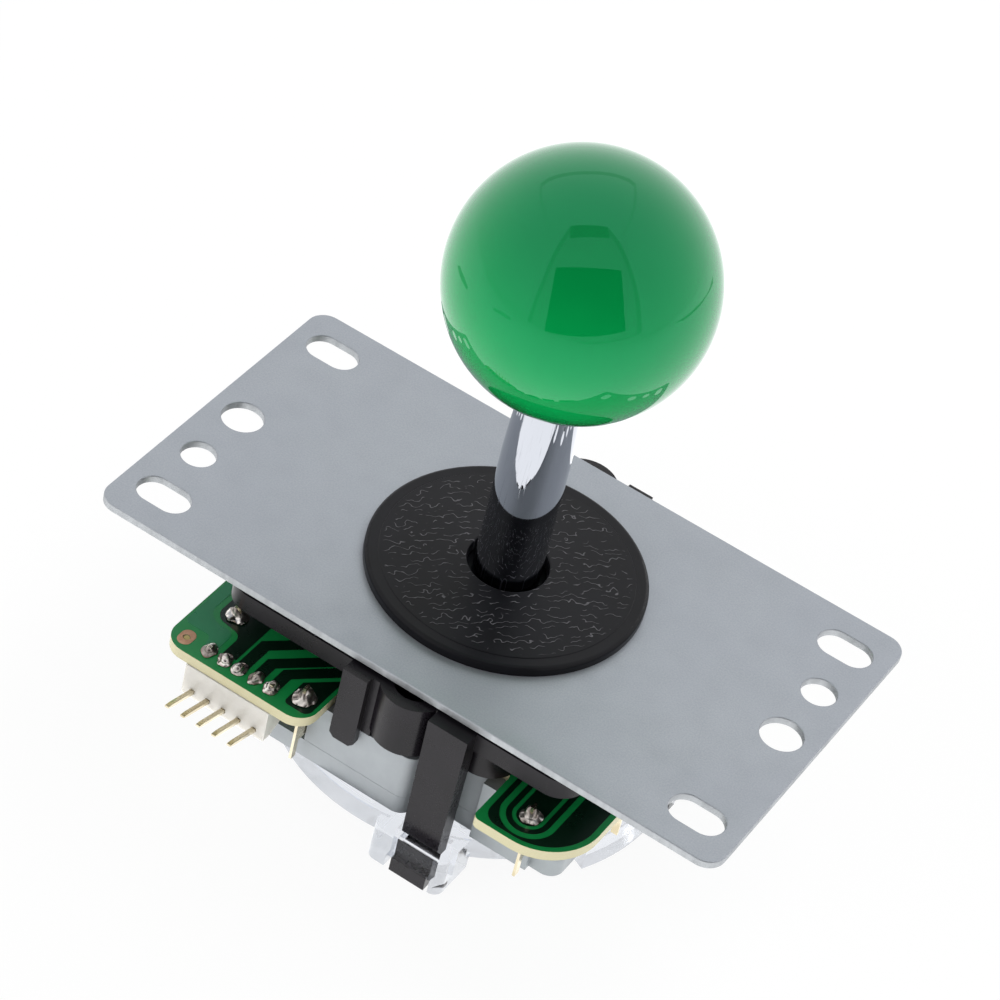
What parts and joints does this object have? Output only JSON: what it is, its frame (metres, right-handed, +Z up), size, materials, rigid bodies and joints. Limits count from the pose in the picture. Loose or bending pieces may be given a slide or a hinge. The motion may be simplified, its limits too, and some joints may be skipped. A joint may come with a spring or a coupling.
{
  "type": "arcade joystick lever",
  "caption": "Ball-topped joystick lever under a flat mounting plate, with four microswitches, a circuit board and a clear restrictor gate.",
  "frame": {"origin": "centre of the mounting plate's top face, which meets the control panel", "axes": "+Z up the lever, +X along the plate, -Y towards the wiring header"},
  "size_m": [0.097, 0.0706, 0.0972],
  "materials": {
    "plate_steel": "satin",
    "screw_steel": "satin",
    "washer_black": "wrinkled matt",
    "ball_green": "gloss",
    "insert_brass": "machined",
    "shaft_chrome": "polished",
    "bearing_plastic": "satin",
    "spring_steel": "satin",
    "actuator_plastic": "satin",
    "clip_steel": "satin",
    "housing_black": "satin",
    "board_green": "solder mask",
    "header_white": "satin",
    "pin_tin": "tinned",
    "solder_tin": "bright",
    "switch_grey": "satin",
    "button_white": "satin",
    "contact_copper": "satin",
    "gate_clear": "clear"
  },
  "bodies": {
    "base": {"mounting_plate": "plate_steel", "plate_screws": "screw_steel", "dust_washer": "washer_black", "spring_seat": "bearing_plastic", "housing": "housing_black", "circuit_board": "board_green", "connector_housing": "header_white", "connector_pins": "pin_tin", "solder_joints": "solder_tin", "restrictor_gate": "gate_clear", "switch_case_front": "switch_grey", "switch_cover_front": "switch_grey", "switch_blade_front": "contact_copper", "switch_terminals_front": "pin_tin", "switch_case_right": "switch_grey", "switch_cover_right": "switch_grey", "switch_blade_right": "contact_copper", "switch_terminals_right": "pin_tin", "switch_case_back": "switch_grey", "switch_cover_back": "switch_grey", "switch_blade_back": "contact_copper", "switch_terminals_back": "pin_tin", "switch_case_left": "switch_grey", "switch_cover_left": "switch_grey", "switch_blade_left": "contact_copper", "switch_terminals_left": "pin_tin"},
    "spring_link": {"return_spring": "spring_steel"},
    "lever": {"shaft": "shaft_chrome", "pivot": "bearing_plastic", "ball_top": "ball_green", "ball_insert": "insert_brass", "actuator": "actuator_plastic", "retaining_ring": "clip_steel"},
    "button_front": {"switch_plunger_front": "button_white"},
    "button_right": {"switch_plunger_right": "button_white"},
    "button_back": {"switch_plunger_back": "button_white"},
    "button_left": {"switch_plunger_left": "button_white"}
  },
  "joints": [
    {"name": "tilt_x", "type": "hinge", "parent": "base", "child": "spring_link", "pos_m": [0, 0, -0.002], "axis": [1, 0, 0], "range_deg": [-8.5, 8.5], "stiffness_Nm_per_rad": 0.35, "deforming": ["return_spring"]},
    {"name": "tilt_y", "type": "hinge", "parent": "spring_link", "child": "lever", "pos_m": [0, 0, -0.002], "axis": [0, 1, 0], "range_deg": [-8.5, 8.5], "stiffness_Nm_per_rad": 0.35, "deforming": ["return_spring"]},
    {"name": "press_front", "type": "slide", "parent": "base", "child": "button_front", "axis": [0, 1, 0], "range_m": [-0.002, 0.002]},
    {"name": "press_right", "type": "slide", "parent": "base", "child": "button_right", "axis": [1, 0, 0], "range_m": [-0.002, 0.002]},
    {"name": "press_back", "type": "slide", "parent": "base", "child": "button_back", "axis": [0, 1, 0], "range_m": [-0.002, 0.002]},
    {"name": "press_left", "type": "slide", "parent": "base", "child": "button_left", "axis": [1, 0, 0], "range_m": [-0.002, 0.002]}
  ],
  "couplings": [
    {"joint": "press_front", "follows": "tilt_x", "m_per_rad": 0.013481},
    {"joint": "press_back", "follows": "tilt_x", "m_per_rad": 0.013481},
    {"joint": "press_right", "follows": "tilt_y", "m_per_rad": -0.013481},
    {"joint": "press_left", "follows": "tilt_y", "m_per_rad": -0.013481}
  ]
}
